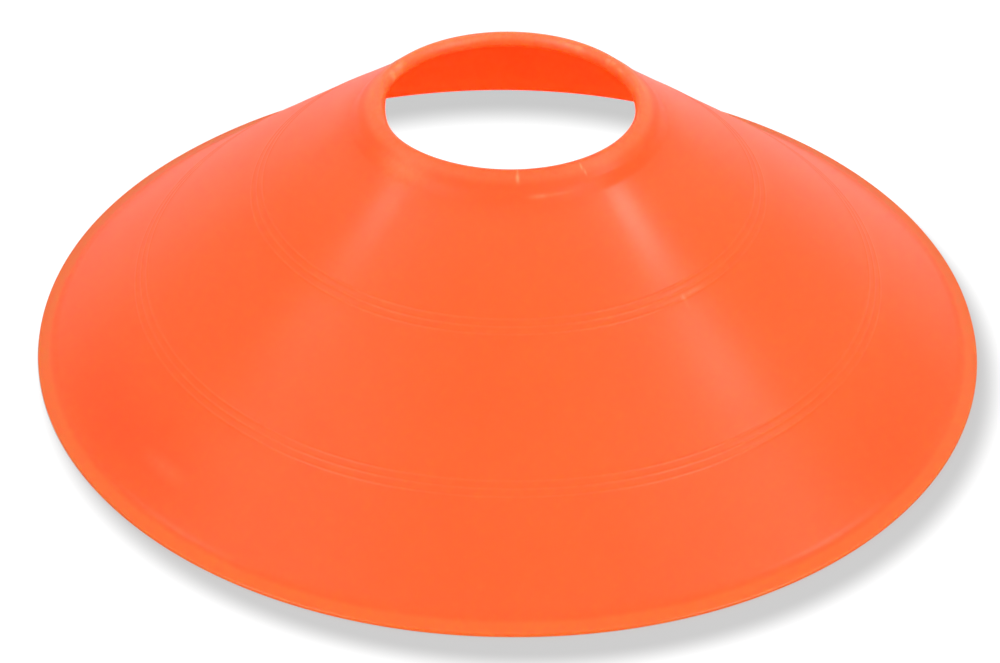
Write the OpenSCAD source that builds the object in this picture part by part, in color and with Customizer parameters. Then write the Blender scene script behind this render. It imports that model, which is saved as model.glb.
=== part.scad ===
// Sports marker cone: a low saucer cone moulded in one piece from soft plastic.
// It has a flat foot, a straight conical skirt with two bands of fine ridges, and
// a thicker collar that stands a little proud of the skirt and ends in a round lip.
// The inside follows the outside at one wall thickness, so that cones nest in a
// stack. Sizes are in millimetres. The foot stands on Z = 0 and the axis is +Z.

/* [Overall] */
// Diameter over the foot
base_d = 190; // [150:1:230]
// Height of the lip above the ground
height = 52.4; // [44:0.2:64]

/* [Skirt] */
// Wall thickness, square to the face
wall = 1.5; // [1.2:0.1:2]

/* [Foot] */
// Distance from the skirt's own slope, carried down to the ground, to the foot's edge
foot_reach = 1.2; // [0.8:0.1:3]
// Thickness of the foot at its edge
foot_t = 0.9; // [0.8:0.05:1.4]
// Slope of the foot's top face, in degrees
foot_slope = 4; // [0:0.5:8]
// Radius that flares the skirt out into the foot
flare_r = 8; // [3:0.5:10]
// Radius on the foot's top and bottom edges
edge_r = 0.35; // [0.2:0.05:0.4]

/* [Collar] */
// Diameter of the hole through the collar
hole_d = 48.6; // [36:0.2:56]
// Width of the collar, from the hole out to its lower edge
collar_w = 5.6; // [4.6:0.1:7]
// Slope of the collar's outer face, in degrees
collar_slope = 40; // [34:1:44]
// Height of the collar's lower edge above the skirt
collar_step = 0.6; // [0.4:0.05:1]
// Height of the straight wall round the hole
collar_bore = 0.9; // [0.6:0.1:1.4]
// Radius that rounds the lip from the collar's face over into the hole
lip_r = 1.3; // [1:0.1:1.6]
// Radius on the collar's lower edge, and at the foot of its step
step_r = 0.25; // [0.1:0.05:0.3]
// Radius on the hole's bottom edge
hole_edge_r = 0.4; // [0.2:0.05:0.5]

/* [Ridges] */
// Ridges in each band
ridge_count = 3; // [1:1:5]
// Distance between neighbouring ridges, along the slope
ridge_pitch = 1.45; // [1:0.05:2.5]
// Width of a ridge at its root
ridge_w = 0.8; // [0.4:0.05:0.9]
// Height of a ridge above the skirt
ridge_h = 0.1; // [0.05:0.05:0.4]

/* [Hidden] */

// Places of the ridge bands, as shares of the slope from the ground up
band_share = [0.321, 0.696];
// Heights across a ridge, as shares of its own height
ridge_share = [0, 0.75, 1, 0.75, 0];
// Facets of the turned face, and steps in each arc of the section
turn_facets = 180;
arc_steps = 8;

foot_r = base_d / 2;
hole_r = hole_d / 2;
collar_r = hole_r + collar_w;

// Points of an arc round a centre, from one angle to another
function arc(centre, r, from, to) =
    [for (i = [0:arc_steps])
        let (a = from + (to - from) * i / arc_steps)
        centre + r * [cos(a), sin(a)]];

// The collar's face leaves the lip's round at a tangent and runs down to the edge of
// the collar, and the skirt starts one step below that edge
lip_centre = [hole_r + lip_r, height - lip_r];
lip_foot = lip_centre + lip_r * [sin(collar_slope), cos(collar_slope)];
collar_edge_z = lip_foot[1] - (collar_r - lip_foot[0]) * tan(collar_slope);
root_z = collar_edge_z - collar_step;

// The skirt's face, carried down to the ground, and its slope, length and normal
ground_r = foot_r - foot_reach;
slope = atan(root_z / (ground_r - collar_r));
slope_len = root_z / sin(slope);
up_slope = [-cos(slope), sin(slope)];
out_slope = [sin(slope), cos(slope)];

// A point at a distance up the slope from the ground, raised off the face by out
function on_skirt(up, out = 0) = [ground_r, 0] + up * up_slope + out * out_slope;

// Outer edge of the foot, from its underside round to its top face
foot_edge_z = foot_t + edge_r * tan(foot_slope) - edge_r / cos(foot_slope);
foot_edge = concat(
    arc([foot_r - edge_r, edge_r], edge_r, -90, 0),
    arc([foot_r - edge_r, foot_edge_z], edge_r, 0, 90 - foot_slope));

// Flare from the foot's top face to the skirt: an arc in the corner where the two
// faces would meet, no longer than the foot's own face leaves room for
corner_up = (foot_t + foot_reach * tan(foot_slope))
          / (sin(slope) - cos(slope) * tan(foot_slope));
corner_turn = (slope - foot_slope) / 2;
flare_room = (foot_r - edge_r - on_skirt(corner_up)[0]) / cos(foot_slope);
flare_run = min(flare_r * tan(corner_turn), flare_room);
flare_fit_r = flare_run / tan(corner_turn);
flare = arc(on_skirt(corner_up + flare_run, flare_fit_r), flare_fit_r,
            270 - foot_slope, 270 - slope);

// Ridges up the skirt, each a low rounded bump
ridge_places = [for (share = band_share, i = [0:ridge_count - 1])
    share * slope_len + (i - (ridge_count - 1) / 2) * ridge_pitch];
ridge_last = len(ridge_share) - 1;
ridges = [for (up = ridge_places, i = [0:ridge_last])
    on_skirt(up + ridge_w * (i / ridge_last - 1 / 2), ridge_h * ridge_share[i])];

// Step from the skirt up to the collar's lower edge: a hollow round at its foot, and
// an outer round that runs into the collar's face
step_foot = arc([collar_r + step_r, root_z + step_r * tan((90 - slope) / 2)], step_r,
                270 - slope, 180);
step_edge = arc([collar_r - step_r, collar_edge_z - step_r * tan((90 - collar_slope) / 2)],
                step_r, 0, 90 - collar_slope);

// Lip: one round from the collar's face over the top and into the hole
lip = concat(
    arc(lip_centre, lip_r, 90 - collar_slope, 90),
    arc(lip_centre, lip_r, 90, 180));

// Inside: the straight wall round the hole, the round on its bottom edge, and the
// skirt's face one wall further in. The collar's wall thickens from the skirt up to
// that round, along a line that touches it
hole_edge_centre = [hole_r + hole_edge_r, height - lip_r - collar_bore];
inner_root = on_skirt(slope_len, -wall);
inner_run = inner_root - hole_edge_centre;
inner_turn = atan(inner_run[1] / inner_run[0]) - acos(hole_edge_r / norm(inner_run));
inside = concat(
    arc(hole_edge_centre, hole_edge_r, 180, 360 + inner_turn),
    [inner_root, on_skirt(wall / tan(slope), -wall)]);

// The whole section on one side of the axis
module cone_section() {
    polygon(concat(foot_edge, flare, ridges, step_foot, step_edge, lip, inside));
}

// The cone's single moulded shell
module cone_shell() {
    color("#ff6a35")
        rotate_extrude($fn = turn_facets)
            cone_section();
}

cone_shell();
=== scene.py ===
# A sports marker cone: one soft plastic moulding, dressed for its picture.
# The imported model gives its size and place, and everything here is in metres.
import math

import bpy
import numpy as np
from mathutils import Matrix, Vector


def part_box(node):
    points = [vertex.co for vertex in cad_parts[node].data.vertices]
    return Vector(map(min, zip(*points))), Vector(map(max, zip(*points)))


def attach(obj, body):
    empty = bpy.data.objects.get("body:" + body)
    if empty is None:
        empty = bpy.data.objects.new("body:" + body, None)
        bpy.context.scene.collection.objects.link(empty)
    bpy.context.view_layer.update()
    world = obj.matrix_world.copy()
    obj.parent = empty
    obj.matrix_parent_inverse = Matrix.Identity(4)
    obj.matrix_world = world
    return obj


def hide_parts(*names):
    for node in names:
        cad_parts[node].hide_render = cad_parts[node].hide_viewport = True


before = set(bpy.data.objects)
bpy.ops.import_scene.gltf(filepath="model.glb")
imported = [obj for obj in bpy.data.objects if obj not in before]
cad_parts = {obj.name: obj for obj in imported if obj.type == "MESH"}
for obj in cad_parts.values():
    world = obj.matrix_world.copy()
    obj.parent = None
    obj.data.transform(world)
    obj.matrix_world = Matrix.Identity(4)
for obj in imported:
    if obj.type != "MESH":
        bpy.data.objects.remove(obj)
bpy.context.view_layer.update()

# The camera
# It looks down on the front of the cone from a little over half a metre, with a
# long lens, and leans by less than half a degree, as the photograph does.
CAMERA_PLACE = Vector((-0.0014, -0.4197, 0.3034))
CAMERA_DOWN = math.radians(36.15)
CAMERA_LEAN = math.radians(0.405)
CAMERA_LENS = 91.1
CAMERA_FILM = 36.0
CAMERA_NEAREST = 0.01

camera_data = bpy.data.cameras.new("camera")
camera_data.lens = CAMERA_LENS
camera_data.sensor_width = CAMERA_FILM
camera_data.sensor_fit = "HORIZONTAL"
camera_data.clip_start = CAMERA_NEAREST
camera = bpy.data.objects.new("camera", camera_data)
camera.location = CAMERA_PLACE
looking = Matrix.Rotation(math.pi / 2 - CAMERA_DOWN, 3, "X")
camera.rotation_euler = (looking @ Matrix.Rotation(CAMERA_LEAN, 3, "Z")).to_euler()
bpy.context.scene.collection.objects.link(camera)
bpy.context.scene.camera = camera


# The moulded shell
# One injection moulding in soft orange polyethylene. Its section is a thin wall that
# flares into the flat foot, and thickens above a small step into a collar with a round
# lip. The mould left two bands of fine ridges, and use has left marks and a slight warp.
foot_low, foot_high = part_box("cone_shell")
FOOT_R = min(-foot_low.x, -foot_low.y, foot_high.x, foot_high.y)
HEIGHT = foot_high.z
WALL = 0.0015
FOOT_REACH = 0.0012
FOOT_THICK = 0.0009
FOOT_SLOPE = math.radians(4)
FLARE_R = 0.0076
EDGE_R = 0.00035
HOLE_R = 0.0243
COLLAR_W = 0.0056
COLLAR_SLOPE = math.radians(40)
COLLAR_STEP = 0.0006
COLLAR_BORE = 0.0009
LIP_R = 0.0013
LIP_DROP = 0.0020
STEP_BLEND = 0.0011
HOLE_EDGE_R = 0.0004
RIDGE_BANDS = (0.321, 0.696)
RIDGE_PITCH = 0.00145
RIDGE_W = 0.0008
RIDGE_H = 0.00007
# How finely each part of the section is divided, and degrees from column to column
EDGE_STEPS = 5
FLARE_STEPS = 14
SKIRT_PLACES = 34
RIDGE_PLACES = 9
RIDGE_SPREAD = 1.05
RIDGE_KEPT_CLEAR = 0.8
WORN_STEP_PLACES = 15
COLLAR_STEPS = 10
LIP_OUTER_STEPS = 6
LIP_INNER_STEPS = 14
BORE_STEPS = 3
HOLE_EDGE_STEPS = 6
THICKENING_STEPS = 8
INNER_STEPS = 20
SAME_POINT = 1e-6
FRONT = (-140, -30)
FRONT_TURN = 0.4
BACK_TURN = 1.25
# The warp. A push is given as its direction and how far round it fades out, in degrees,
# and its size
FOOT_CORNERS = 0.0005
FOOT_PUSHES = ((120, 12, 0.0006), (178, 18, -0.0002))
SKIRT_BOW = (130, 24, 0.0006)
SKIRT_RIPPLE = (-50, 35, 0.0004)
RIPPLE_TOP = 0.2
RIPPLE_LENGTH = 0.44
HOLE_PUSHES = ((-142, 22, 0.0003), (186, 20, -0.0006))
HOLE_WIDER = 0.00012
# Marks of use on the outer face and the lip, and two painted highlights along the collar's
# lower edge: where each lies, as degrees round the axis and radius, its half lengths round
# and down the face, its depth, and how pale it is
WEAR_MARKS_AND_HIGHLIGHTS = (
    (-86.5, 0.0271, 0.00030, 0.0007, 0.00008, 1.0),
    (-86.5, 0.0262, 0.00018, 0.0012, 0.00003, 0.5),
    (-60.0, 0.0268, 0.00018, 0.0006, 0.00006, 0.8),
    (-59.3, 0.0278, 0.00018, 0.0005, 0.00004, 0.7),
    # Painted highlight: two pale lines along the collar's lower edge, where it catches the light
    (-79.0, 0.0298, 0.0016, 0.00030, 0.0, 0.45),
    (-71.5, 0.0298, 0.0022, 0.00022, 0.0, 0.2),
    (-133.0, 0.0292, 0.0056, 0.0023, 0.0, 0.40),
    (-50.0, 0.0503, 0.0004, 0.0005, 0.00006, 0.6),
    (-47.0, 0.0501, 0.0022, 0.0003, 0.0, 0.35),
    (157.0, 0.0247, 0.0008, 0.0007, 0.00002, 0.8),
    (150.0, 0.0248, 0.0012, 0.0006, 0.0, 0.6),
    (61.5, 0.0247, 0.0008, 0.0002, 0.00003, 0.7),
    (56.0, 0.0247, 0.0009, 0.0003, 0.00003, 0.8),
    (38.0, 0.0249, 0.0004, 0.0005, 0.00004, 1.0),
    (34.5, 0.0250, 0.0005, 0.0003, 0.00004, 0.9),
    (28.5, 0.0247, 0.0009, 0.0002, 0.00002, 0.7),
    (-148.5, 0.0864, 0.0002, 0.0014, 0.00003, 0.55),
    (-147.0, 0.0862, 0.0002, 0.0011, 0.00003, 0.4),
    (-141.0, 0.0815, 0.0028, 0.0028, 0.00016, 0.0),
    (-138.0, 0.0850, 0.0050, 0.0005, 0.0, 0.15),
    (-109.4, 0.0665, 0.0003, 0.0030, 0.00003, 0.0),
)
MARKED_ABOVE = 0.001
BORE_REACHED = 0.00001
# How pale the lip and the ridges are made, partly rubbed and partly painted sheen and
# highlight, and where that starts and fades out
RIM_R = 0.0282
RIM_OVER = 0.0010
RIM_DOWN = 0.0028
RIM_FADE = 0.0022
RIM_FADE_POWER = 1.5
RIM_WORN_AND_SHEEN = 0.35
# Painted sheen: the lip paler at the back
RIM_SHEEN_BEHIND = 0.18
RIDGE_WORN_AND_HIGHLIGHT = 0.07
# Where the foot is painted lighter, as painted light, where the collar and the cove at its
# foot, the inside and two patches low on either side of the front are painted darker, as
# painted shade, and where the skirt is polished
FOOT_LIGHT_FROM = 0.0920
FOOT_LIGHT_OVER = 0.0008
COLLAR_SHADE = 0.42
COLLAR_SHADE_R = 0.0335
COLLAR_SHADE_OVER = 0.0030
LOW_SHADE = ((-150, 18, 0.9), (-32, 14, 0.4))
LOW_SHADE_R = 0.085
LOW_SHADE_OVER = 0.006
INSIDE_SHADE = 0.6
POLISH = 0.22
POLISHED_R = (0.0302, 0.0325, 0.036, 0.046)
POLISHED_SHARE = (0, 1, 1, 0)
# Colours, and what the plastic does with light: how far red, green and blue go in
ORANGE = (1.0, 0.122, 0.009, 1.0)
CLOUD_ORANGE = (1.0, 0.142, 0.013, 1.0)
# A lighter orange painted on the foot, as painted light
PAINTED_LIT_ORANGE = (1.0, 0.172, 0.021, 1.0)
# A darker orange painted as shade
SHADED_ORANGE = (1.0, 0.105, 0.008, 1.0)
# The pale of rubbed plastic, which also carries painted sheen and painted highlight
WORN_AND_SHEEN_ORANGE = (1.0, 0.34, 0.14, 1.0)
CLOUDS_PER_METRE = 45.0
GRAINS_PER_METRE = 900.0
GRAIN_HEIGHT = 0.00002
GRAIN_SHARE = 0.15
PATCHY_FROM = 0.6
PATCHY_BY = 0.8
SATIN = 0.3
RUBBED_DULL = 0.55
POLISHED_SATIN = 0.16
POLISHED_IOR = 1.45
SHINE = 0.4
LIGHT_GOES_IN = 0.0012
LIGHT_SHARES = (1.5, 0.25, 0.05)


def arc(centre, radius, start, stop, steps):
    """A circle's points: the centre plus the radius times cosine and sine of even angles."""
    angle = np.linspace(start, stop, steps + 1)
    return np.asarray(centre) + radius * np.stack([np.cos(angle), np.sin(angle)], 1)


def line(start, stop, steps):
    """Even points from start to stop: start plus a share from 0 to 1 of the way."""
    return start + np.linspace(0, 1, steps + 1)[:, None] * (np.asarray(stop) - start)


quarter = math.pi / 2
collar_r = HOLE_R + COLLAR_W
lip_centre = np.array([HOLE_R + LIP_R, HEIGHT - LIP_R])
lip_foot = lip_centre + LIP_R * np.array([math.sin(COLLAR_SLOPE), math.cos(COLLAR_SLOPE)])
collar_edge_z = lip_foot[1] - (collar_r - lip_foot[0]) * math.tan(COLLAR_SLOPE)
root_z = collar_edge_z - COLLAR_STEP
ground = np.array([FOOT_R - FOOT_REACH, 0])
slope = math.atan2(root_z, ground[0] - collar_r)
slope_len = root_z / math.sin(slope)
up_slope = np.array([-math.cos(slope), math.sin(slope)])
out_slope = np.array([math.sin(slope), math.cos(slope)])

# The foot's edge and top, and the flare that is tangent to the top and to the skirt
edge_top_z = FOOT_THICK + EDGE_R * math.tan(FOOT_SLOPE) - EDGE_R / math.cos(FOOT_SLOPE)
foot_edge = np.concatenate([
    arc((FOOT_R - EDGE_R, EDGE_R), EDGE_R, -quarter, 0, EDGE_STEPS),
    arc((FOOT_R - EDGE_R, edge_top_z), EDGE_R, 0, quarter - FOOT_SLOPE, EDGE_STEPS)])
corner_up = (FOOT_THICK + FOOT_REACH * math.tan(FOOT_SLOPE)) / (
    math.sin(slope) - math.cos(slope) * math.tan(FOOT_SLOPE))
flare_start = corner_up + FLARE_R * math.tan((slope - FOOT_SLOPE) / 2)
flare = arc(ground + flare_start * up_slope + FLARE_R * out_slope, FLARE_R,
            3 * quarter - FOOT_SLOPE, 3 * quarter - slope, FLARE_STEPS)

# Places up the skirt: even steps, with close ones over each ridge
ridges = np.array([
    share * slope_len + i * RIDGE_PITCH for share in RIDGE_BANDS for i in (-1, 0, 1)])
over_ridge = np.linspace(-0.5, 0.5, RIDGE_PLACES) * RIDGE_W * RIDGE_SPREAD
skirt_end = slope_len - STEP_BLEND / math.cos(slope)
even_up = np.linspace(flare_start, skirt_end, SKIRT_PLACES)[1:-1]
to_ridge = np.abs(even_up[:, None] - ridges).min(1)
even_up = even_up[to_ridge > RIDGE_W * RIDGE_KEPT_CLEAR]
skirt_up = np.sort(np.concatenate([even_up, (ridges[:, None] + over_ridge).ravel()]))
skirt = ground + skirt_up[:, None] * up_slope

# The worn step at the collar's lower edge: a share of the way from the skirt's line to
# the collar's line, which is 3 s squared minus 2 s cubed, with s even along the radius
step_share = np.linspace(0, 1, WORN_STEP_PLACES)
step_r = collar_r + STEP_BLEND * (1 - 2 * step_share)
skirt_line = root_z - (step_r - collar_r) * math.tan(slope)
collar_line = collar_edge_z - (step_r - collar_r) * math.tan(COLLAR_SLOPE)
climb = step_share ** 2 * (3 - 2 * step_share)
step = np.stack([step_r, skirt_line + (collar_line - skirt_line) * climb], 1)

# The collar's face, and the lip that rolls over into the hole
collar_face = line(step[-1], lip_foot, COLLAR_STEPS)[1:-1]
lip = np.concatenate([
    arc(lip_centre, LIP_R, quarter - COLLAR_SLOPE, quarter, LIP_OUTER_STEPS),
    arc((lip_centre[0], HEIGHT - LIP_DROP), np.array([LIP_R, LIP_DROP]),
        quarter, 2 * quarter, LIP_INNER_STEPS)[1:]])

# The inside: the straight wall of the hole, the round under it, the line down to the
# skirt's wall, and that wall's inner face back to the foot
hole_edge_centre = np.array([HOLE_R + HOLE_EDGE_R, HEIGHT - LIP_R - COLLAR_BORE])
inner_root = ground + slope_len * up_slope - WALL * out_slope
inner_run = inner_root - hole_edge_centre
inner_turn = math.atan2(inner_run[1], inner_run[0]) - math.acos(
    HOLE_EDGE_R / math.hypot(*inner_run))
hole_edge = arc(hole_edge_centre, HOLE_EDGE_R, 2 * quarter, 4 * quarter + inner_turn,
                HOLE_EDGE_STEPS)
inner_foot = np.array([ground[0] - WALL / math.sin(slope), 0])
inside = np.concatenate([
    line(lip[-1], hole_edge[0], BORE_STEPS)[1:-1], hole_edge,
    line(hole_edge[-1], inner_root, THICKENING_STEPS)[1:],
    line(inner_root, inner_foot, INNER_STEPS)[1:]])

section = np.concatenate([foot_edge, flare, skirt, step, collar_face, lip, inside])
section = section[np.linalg.norm(section - np.roll(section, 1, 0), axis=1) > SAME_POINT]
section_r = section[:, :1]
section_z = section[:, 1:]

# Each ridge is half of one plus the cosine across its width, square to the skirt
skirt_first = np.argmin(np.linalg.norm(section - skirt[0], axis=1))
rise = np.zeros_like(section_r)
for ridge in ridges:
    across_ridge = (skirt_up[:, None] - ridge) / RIDGE_W
    bump = (1 + np.cos(2 * np.pi * across_ridge)) / 2
    bump[np.abs(across_ridge) >= 0.5] = 0
    rise[skirt_first:skirt_first + len(skirt_up)] += bump * RIDGE_H

# Directions round the axis, closer together at the front where the small marks are
turn = np.radians(np.concatenate([
    np.arange(*FRONT, FRONT_TURN), np.arange(FRONT[1], FRONT[0] + 360, BACK_TURN)]))


def turned_from(towards):
    """Degrees round the axis from the direction towards, none of them over half a turn."""
    return (np.degrees(turn) - towards + 180) % 360 - 180


def swell(towards, width, size):
    """The whole size in the direction towards, and less round the axis from it: the size
    times e to the minus square of the turn from there over the width."""
    return size * np.exp(-(turned_from(towards) / width) ** 2)


# Use has pushed the foot and the hole a little out of round, bowed out the skirt's left
# back, and left a ripple of a tenth of a millimetre down its right front
downward = np.clip((section_r - collar_r) / (FOOT_R - collar_r), 0, 1)
corner = np.where(np.cos(turn) > 0, np.maximum(-np.sin(2 * turn), 0), 0)
push = FOOT_CORNERS * corner + sum(swell(*each) for each in FOOT_PUSHES)
bow = swell(*SKIRT_BOW) * 4 * downward * (1 - downward)
wave = np.cos(2 * np.pi * (downward - RIPPLE_TOP) / RIPPLE_LENGTH)
ripple = swell(*SKIRT_RIPPLE) * wave * downward * (1 - downward)
outward = rise + bow + ripple
near_hole = np.clip((lip_foot[0] - section_r) / (lip_foot[0] - HOLE_R), 0, 1)
squeeze = near_hole * (sum(swell(*each) for each in HOLE_PUSHES) + HOLE_WIDER)

# Each mark is e to the minus squares of the ways round and down over its half lengths
outer_last = np.argmax(section_r < HOLE_R + BORE_REACHED)
outer_rows = np.arange(len(section))[:, None] <= outer_last
marked_rows = outer_rows * (section_z > MARKED_ABOVE)
dent = np.zeros((len(section), len(turn)))
wear_and_sheen = np.zeros_like(dent)
for towards, mark_r, half_round, half_down, depth, pale in WEAR_MARKS_AND_HIGHLIGHTS:
    way_round = np.radians(turned_from(towards)) * mark_r / half_round
    way_down = (section_r - mark_r) / math.cos(slope) / half_down
    mark = np.exp(-way_round ** 2 - way_down ** 2) * marked_rows
    dent += mark * depth
    wear_and_sheen += mark * pale

# The rounded lip is made pale from its outer edge over into the hole, where the paleness
# fades out just under three millimetres down: partly wear from stacking, partly painted
# sheen, which is strongest at the back. The ridges' crests are made a little pale too,
# partly wear and partly painted highlight
lip_first = np.argmax(section_z)
rim = np.clip((RIM_R - section_r) / RIM_OVER, 0, 1) * outer_rows
still_pale = (section_z[lip_first:] - HEIGHT + RIM_DOWN) / RIM_FADE
rim[lip_first:] = np.clip(still_pale, 0, 1) ** RIM_FADE_POWER
wear_and_sheen += rim * (RIM_WORN_AND_SHEEN + RIM_SHEEN_BEHIND * np.sin(turn)) + RIDGE_WORN_AND_HIGHLIGHT * rise / RIDGE_H

# Painted light: the foot a lighter orange, where it takes more light
painted_foot_light = np.clip((section_r - FOOT_LIGHT_FROM) / FOOT_LIGHT_OVER, 0, 1)
# Painted shade: a darker orange on the collar, fading out just past the step at its foot, on two
# patches low on either side of the front, and on the whole inside
low = np.exp(-((section_r - LOW_SHADE_R) / LOW_SHADE_OVER) ** 2)
painted_shade = COLLAR_SHADE * np.clip((COLLAR_SHADE_R - section_r) / COLLAR_SHADE_OVER, 0, 1)
painted_shade = painted_shade + sum(swell(*each) for each in LOW_SHADE) * low
painted_shade = np.where(outer_rows, painted_shade, INSIDE_SHADE)
polish = POLISH * np.interp(section_r, POLISHED_R, POLISHED_SHARE) * outer_rows

# The mesh joins each point to its neighbours round the axis and along the section, and
# both ways close, so the shell has no seam
radius = section_r + (outward - dent) * out_slope[0] + push * downward + squeeze
level = section_z + (outward - dent) * out_slope[1]
points = np.stack([radius * np.cos(turn), radius * np.sin(turn), level], -1)
rows, cols = points.shape[:2]
number = np.arange(rows * cols).reshape(rows, cols)
beside = np.roll(number, -1, 1)
above = np.roll(number, -1, 0)
corners = np.stack([number, beside, np.roll(above, -1, 1), above], -1).reshape(-1, 4)
shell_mesh = bpy.data.meshes.new("moulded_shell")
shell_mesh.from_pydata(points.reshape(-1, 3).tolist(), [], corners.tolist())
shell_mesh.polygons.foreach_set("use_smooth", np.ones(len(corners), bool))
for name, values in (("wear_and_sheen", np.clip(wear_and_sheen, 0, 1)), ("painted_foot_light", painted_foot_light), ("painted_shade", painted_shade),
                     ("polish", polish)):
    layer = shell_mesh.attributes.new(name, "FLOAT", "POINT")
    layer.data.foreach_set("value", np.broadcast_to(values, (rows, cols)).ravel())
shell_mesh.update()
shell = bpy.data.objects.new("moulded_shell", shell_mesh)
bpy.context.scene.collection.objects.link(shell)


def node(tree, kind, sockets=None, **settings):
    """A node of a shader tree, with its own settings and values for its sockets."""
    made = tree.nodes.new(kind)
    for name, value in settings.items():
        setattr(made, name, value)
    for name, value in (sockets or {}).items():
        made.inputs[name].default_value = value
    return made


def link(giver, output, taker, socket):
    """A link from a node's output to a socket of another node in the same tree."""
    giver.id_data.links.new(giver.outputs[output], taker.inputs[socket])


# Satin plastic that light goes into: faint clouds in its colour, a lighter orange painted on
# the foot as painted light, and a darker orange painted on the collar, the inside and two
# low patches as painted shade
plastic = bpy.data.materials.new("soft_orange_plastic")
plastic.use_nodes = True
mix = plastic.node_tree
skin = mix.nodes["Principled BSDF"]
skin.inputs["Specular IOR Level"].default_value = SHINE
skin.inputs["Subsurface Weight"].default_value = 1.0
skin.inputs["Subsurface Radius"].default_value = LIGHT_SHARES
skin.inputs["Subsurface Scale"].default_value = LIGHT_GOES_IN
spot = node(mix, "ShaderNodeTexCoord")
clouds = node(mix, "ShaderNodeTexNoise", {"Scale": CLOUDS_PER_METRE, "Detail": 3.0})
link(spot, "Object", clouds, "Vector")
orange = node(mix, "ShaderNodeMix", {"A": ORANGE, "B": CLOUD_ORANGE}, data_type="RGBA")
link(clouds, "Fac", orange, "Factor")
# The foot painted lighter, as painted light
foot_light_share = node(mix, "ShaderNodeAttribute", attribute_name="painted_foot_light")
painted_lighter = node(mix, "ShaderNodeMix", {"B": PAINTED_LIT_ORANGE}, data_type="RGBA")
link(foot_light_share, "Fac", painted_lighter, "Factor")
link(orange, "Result", painted_lighter, "A")
# The collar, the cove at its foot, two low patches and the inside painted darker, as painted
# shade
painted_shade_share = node(mix, "ShaderNodeAttribute", attribute_name="painted_shade")
painted_darker = node(mix, "ShaderNodeMix", {"B": SHADED_ORANGE}, data_type="RGBA")
link(painted_shade_share, "Fac", painted_darker, "Factor")
link(painted_lighter, "Result", painted_darker, "A")

# A fine grain in its face, which breaks up the paler, duller look where it is rubbed and
# where sheen is painted on
specks = node(mix, "ShaderNodeTexNoise", {"Scale": GRAINS_PER_METRE, "Detail": 2.0})
link(spot, "Object", specks, "Vector")
patchy = node(mix, "ShaderNodeMath", {1: PATCHY_BY, 2: PATCHY_FROM},
              operation="MULTIPLY_ADD")
link(specks, "Fac", patchy, 0)
wear_and_sheen_attr = node(mix, "ShaderNodeAttribute", attribute_name="wear_and_sheen")
wear_and_sheen_share = node(mix, "ShaderNodeMath", operation="MULTIPLY", use_clamp=True)
link(wear_and_sheen_attr, "Fac", wear_and_sheen_share, 0)
link(patchy, "Value", wear_and_sheen_share, 1)
tint = node(mix, "ShaderNodeMix", {"B": WORN_AND_SHEEN_ORANGE}, data_type="RGBA")
link(wear_and_sheen_share, "Value", tint, "Factor")
link(painted_darker, "Result", tint, "A")
link(tint, "Result", skin, "Base Color")
gloss = node(mix, "ShaderNodeMapRange", {"To Min": SATIN, "To Max": RUBBED_DULL})
link(wear_and_sheen_share, "Value", gloss, "Value")
link(gloss, "Result", skin, "Roughness")
grain = node(mix, "ShaderNodeBump", {"Strength": GRAIN_SHARE, "Distance": GRAIN_HEIGHT})
link(specks, "Fac", grain, "Height")
link(grain, "Normal", skin, "Normal")

# A light polish on the skirt just under the collar
polished = node(mix, "ShaderNodeAttribute", attribute_name="polish")
skin.inputs["Coat Roughness"].default_value = POLISHED_SATIN
skin.inputs["Coat IOR"].default_value = POLISHED_IOR
link(polished, "Fac", skin, "Coat Weight")
shell_mesh.materials.append(plastic)

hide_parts("cone_shell")
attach(shell, "root")


# The floor and the light
# A white floor that runs on out of sight, a pale room, and a soft lamp on either
# side above the cone, whose reflections are the two streaks down the skirt.
FLOOR_HALF = 4.0
FLOOR_DROP = 0.0001
FLOOR_WHITE = 1.12
# The grey of the shadow painted on the floor
PAINTED_SHADE_GREY = 0.592
FLOOR_OWN_LIGHT = 0.88
FLOOR_MATT = (0.8, 0.8, 0.8, 1)
FLOOR_MIRRORED_LEFT = 0.40
FLOOR_MIRRORED_RIGHT = 0.46
FLOOR_GLOW = ((0.0955, 1.0), (0.10, 0.2), (0.20, 1.2))
FLOOR_GLOW_FROM = 0.0919
# Where the painted shadow on the floor lies: its centre, and its outer and inner edges
SHADE_CENTRE = (0.00275, -0.0069, 0.0)
SHADE_EDGE = (0.0916, 0.0982)
SHADE_INNER_EDGE = (0.072, 0.086)
# The room's brightness by the upward share of a direction, ahead and behind the cone
ROOM_FRONT = ((0.0, 0.0), (0.2, 0.0), (0.45, 0.0), (0.7, 0.98))
ROOM_BACK = ((0.0, 0.74), (0.2, 0.48), (0.45, 0.96), (0.7, 0.59))
LAMP_AWAY = 3.0
TABLE_LIGHT_UP = 0.0003
TABLE_LIGHT_W = 0.186
TABLE_LIGHT_WATTS = 0.584
TABLE_LIGHT_COLOUR = (1.0, 0.153, 0.253)

floor_mesh = bpy.data.meshes.new("floor")
floor_mesh.from_pydata(
    [(-FLOOR_HALF, -FLOOR_HALF, -FLOOR_DROP), (FLOOR_HALF, -FLOOR_HALF, -FLOOR_DROP),
     (FLOOR_HALF, FLOOR_HALF, -FLOOR_DROP), (-FLOOR_HALF, FLOOR_HALF, -FLOOR_DROP)],
    [], [(0, 1, 2, 3)])
floor = bpy.data.objects.new("floor", floor_mesh)
bpy.context.scene.collection.objects.link(floor)


def ramp(tree, stops):
    """A ramp of greys through stops, each a place from 0 to 1 and a brightness."""
    made = node(tree, "ShaderNodeValToRGB")
    while len(made.color_ramp.elements) < len(stops):
        made.color_ramp.elements.new(1.0)
    for element, (at, value) in zip(made.color_ramp.elements, stops):
        element.position = at
        element.color = (value, value, value, 1)
    return made


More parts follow.
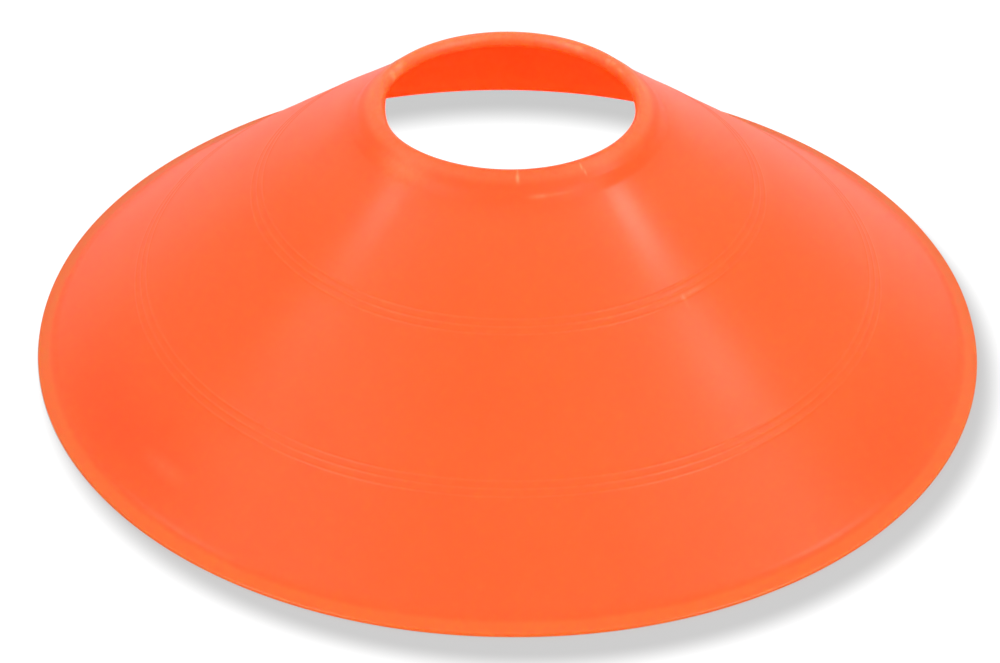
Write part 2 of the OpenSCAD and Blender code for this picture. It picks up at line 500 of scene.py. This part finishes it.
floor_paint = bpy.data.materials.new("floor_paint")
floor_paint.use_nodes = True
paint = floor_paint.node_tree
paint.nodes.clear()
place = node(paint, "ShaderNodeTexCoord")
path = node(paint, "ShaderNodeLightPath")
from_axis = node(paint, "ShaderNodeVectorMath", operation="LENGTH")
link(place, "Object", from_axis, 0)
past_foot = node(paint, "ShaderNodeMath", {1: FOOT_R}, operation="GREATER_THAN")
link(from_axis, "Value", past_foot, 0)

# A soft grey shade painted round the foot, reaching out a little further in front, and the
# same grey painted under the shell, with white painted as far in as the light through the
# hole comes: painted shadow and a painted pool of light in the floor's own glow
away = node(paint, "ShaderNodeVectorMath", {1: SHADE_CENTRE}, operation="DISTANCE")
link(place, "Object", away, 0)
outside = node(paint, "ShaderNodeMapRange",
               {"From Min": SHADE_EDGE[0], "From Max": SHADE_EDGE[1]},
               interpolation_type="SMOOTHSTEP")
link(away, "Value", outside, "Value")
link(past_foot, "Value", outside, "To Max")
within = node(paint, "ShaderNodeMapRange",
              {"From Min": SHADE_INNER_EDGE[1], "From Max": SHADE_INNER_EDGE[0]},
              interpolation_type="SMOOTHSTEP")
link(from_axis, "Value", within, "Value")
lit = node(paint, "ShaderNodeMath", operation="MAXIMUM")
link(outside, "Result", lit, 0)
link(within, "Result", lit, 1)
shade = node(paint, "ShaderNodeMapRange", {"To Min": PAINTED_SHADE_GREY, "To Max": FLOOR_WHITE})
link(lit, "Value", shade, "Value")
glow = node(paint, "ShaderNodeEmission")
link(shade, "Result", glow, "Color")
matt = node(paint, "ShaderNodeBsdfDiffuse", {"Color": FLOOR_MATT})
seen_share = node(paint, "ShaderNodeMapRange", {"To Min": 1.0, "To Max": FLOOR_OWN_LIGHT})
link(past_foot, "Value", seen_share, "Value")
seen = node(paint, "ShaderNodeMixShader")
link(seen_share, "Result", seen, "Fac")
link(matt, "BSDF", seen, 1)
link(glow, "Emission", seen, 2)

# A mirroring face shows a share of that white, more on the right, where the floor is
# brighter, and none of it from under the cone
across = node(paint, "ShaderNodeSeparateXYZ")
link(place, "Object", across, "Vector")
brighter = node(paint, "ShaderNodeMapRange",
                {"From Min": -FOOT_R, "From Max": FOOT_R,
                 "To Min": FLOOR_MIRRORED_LEFT, "To Max": FLOOR_MIRRORED_RIGHT})
link(across, "X", brighter, "Value")
mirrored = node(paint, "ShaderNodeMapRange")
link(brighter, "Result", mirrored, "To Max")
link(past_foot, "Value", mirrored, "Value")
white_share = node(paint, "ShaderNodeMapRange", {"To Min": 1.0})
link(path, "Is Glossy Ray", white_share, "Value")
link(mirrored, "Result", white_share, "To Max")
link(white_share, "Result", glow, "Strength")

# The soft light that the cone gets from the floor, by distance from the axis, and none
# from inside the foot
spread = ramp(paint, FLOOR_GLOW)
link(from_axis, "Value", spread, "Fac")
under_foot = node(paint, "ShaderNodeMath", {1: FLOOR_GLOW_FROM}, operation="GREATER_THAN")
link(from_axis, "Value", under_foot, 0)
felt = node(paint, "ShaderNodeEmission")
link(spread, "Color", felt, "Color")
link(under_foot, "Value", felt, "Strength")

# Eyes and mirroring faces see the white floor, and all else feels the soft light
not_felt = node(paint, "ShaderNodeMath", operation="ADD")
link(path, "Is Camera Ray", not_felt, 0)
link(path, "Is Glossy Ray", not_felt, 1)
looked_at = node(paint, "ShaderNodeMath", operation="ADD", use_clamp=True)
link(not_felt, "Value", looked_at, 0)
link(path, "Is Transmission Ray", looked_at, 1)
blend = node(paint, "ShaderNodeMixShader")
link(looked_at, "Value", blend, "Fac")
link(felt, "Emission", blend, 1)
link(seen, "Shader", blend, 2)
link(blend, "Shader", node(paint, "ShaderNodeOutputMaterial"), "Surface")
floor_mesh.materials.append(floor_paint)

# The room: its brightness rises and falls with the height of a direction, and goes over
# from what is ahead of the cone to what is behind it
room = bpy.data.worlds.new("room")
room.use_nodes = True
sky = room.node_tree
facing = node(sky, "ShaderNodeTexCoord")
upward = node(sky, "ShaderNodeSeparateXYZ")
link(facing, "Generated", upward, "Vector")
ahead = ramp(sky, ROOM_FRONT)
link(upward, "Z", ahead, "Fac")
behind = ramp(sky, ROOM_BACK)
link(upward, "Z", behind, "Fac")
backward = node(sky, "ShaderNodeMapRange", {"From Min": -1.0})
link(upward, "Y", backward, "Value")
walls = node(sky, "ShaderNodeMix", data_type="RGBA")
link(backward, "Result", walls, "Factor")
link(ahead, "Color", walls, "A")
link(behind, "Color", walls, "B")
link(walls, "Result", sky.nodes["Background"], "Color")
bpy.context.scene.world = room


def soft_lamp(name, toward, away, size, watts):
    """A square lamp at a distance from the cone's middle, in the direction toward, facing it."""
    data = bpy.data.lights.new(name, "AREA")
    data.shape = "SQUARE"
    data.size = size
    data.energy = watts
    lamp = bpy.data.objects.new(name, data)
    direction = Vector(toward).normalized()
    lamp.location = direction * away
    lamp.rotation_euler = direction.to_track_quat("Z", "Y").to_euler()
    bpy.context.scene.collection.objects.link(lamp)
    return lamp


soft_lamp("lamp_right", (0.670, 0.060, 0.74), LAMP_AWAY, 0.39, 4.6)
soft_lamp("lamp_left", (-0.66, 0.10, 0.74), LAMP_AWAY, 0.45, 2.7)
soft_lamp("lamp_front_right", (0.70, -0.62, 0.35), LAMP_AWAY, 1.5, 36.9)
soft_lamp("lamp_front_left", (-0.70, -0.62, 0.35), LAMP_AWAY, 1.5, 30.3)
soft_lamp("lamp_high_right", (0.62, -0.30, 0.72), LAMP_AWAY, 1.5, 3.3)
soft_lamp("lamp_high_left", (-0.62, -0.30, 0.72), LAMP_AWAY, 1.5, 3.1)

# Light under the shell, orange because it has come in through the plastic. It shines
# up from just over the ground, so its distance is counted against its direction
table_light = soft_lamp("table_light", (0, 0, -1), -TABLE_LIGHT_UP, TABLE_LIGHT_W,
                        TABLE_LIGHT_WATTS)
table_light.data.color = TABLE_LIGHT_COLOUR
table_light.data.shape = "DISK"
table_light.visible_camera = False
table_light.visible_glossy = False

bpy.context.scene.view_settings.view_transform = "Standard"
